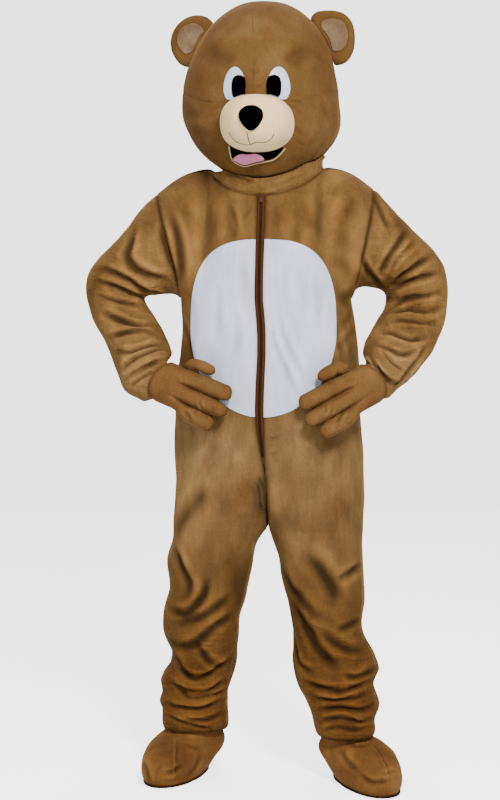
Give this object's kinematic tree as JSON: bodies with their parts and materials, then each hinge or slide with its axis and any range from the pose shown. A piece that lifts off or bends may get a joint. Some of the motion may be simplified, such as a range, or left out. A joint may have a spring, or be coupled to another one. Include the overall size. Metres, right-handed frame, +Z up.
{
  "type": "bear mascot costume",
  "caption": "Worn bear mascot costume: zipped plush suit with pale tummy, rounded head with ears and open mouth, gloves and boot covers, hands on the hips.",
  "frame": {"origin": "the middle of the shoulder line, between the two shoulders, inside the suit just under the neck opening, where the wearer's shoulders hold it up", "axes": "+Z up, along the standing costume and its longest extent; -Y is the front with the face and the zip; +X is towards the viewer's right, the wearer's left"},
  "size_m": [0.8745, 0.5037, 1.853],
  "materials": {
    "brown_plush": "short-pile plush",
    "cream_plush": "short-pile plush",
    "pale_plush": "short-pile plush",
    "black_felt": "felt",
    "pink_felt": "felt",
    "zip_tape": "woven tape",
    "zip_slider": "satin",
    "sole_cloth": "heavy woven cloth"
  },
  "bodies": {
    "root": {"back_left": "brown_plush", "back_right": "brown_plush", "boot_inner_left": "brown_plush", "boot_inner_right": "brown_plush", "boot_outer_left": "brown_plush", "boot_outer_right": "brown_plush", "brow_left": "brown_plush", "brow_right": "brown_plush", "cheek_left": "brown_plush", "cheek_right": "brown_plush", "collar_left": "brown_plush", "collar_right": "brown_plush", "ear_inner_left": "cream_plush", "ear_inner_right": "cream_plush", "ear_left": "brown_plush", "ear_right": "brown_plush", "eye_white_left": "pale_plush", "eye_white_right": "pale_plush", "front_left": "brown_plush", "front_right": "brown_plush", "glove_back_left": "brown_plush", "glove_back_right": "brown_plush", "glove_palm_left": "brown_plush", "glove_palm_right": "brown_plush", "head_back_left": "brown_plush", "head_back_right": "brown_plush", "lip": "cream_plush", "lower_sleeve_left": "brown_plush", "lower_sleeve_right": "brown_plush", "mouth": "black_felt", "muzzle": "cream_plush", "nose": "black_felt", "pupil_left": "black_felt", "pupil_right": "black_felt", "sole_left": "sole_cloth", "sole_right": "sole_cloth", "thumb_left": "brown_plush", "thumb_right": "brown_plush", "tongue": "pink_felt", "tummy_left": "pale_plush", "tummy_right": "pale_plush", "upper_sleeve_left": "brown_plush", "upper_sleeve_right": "brown_plush", "zip": "zip_tape", "zip_slider": "zip_slider"}
  },
  "joints": []
}
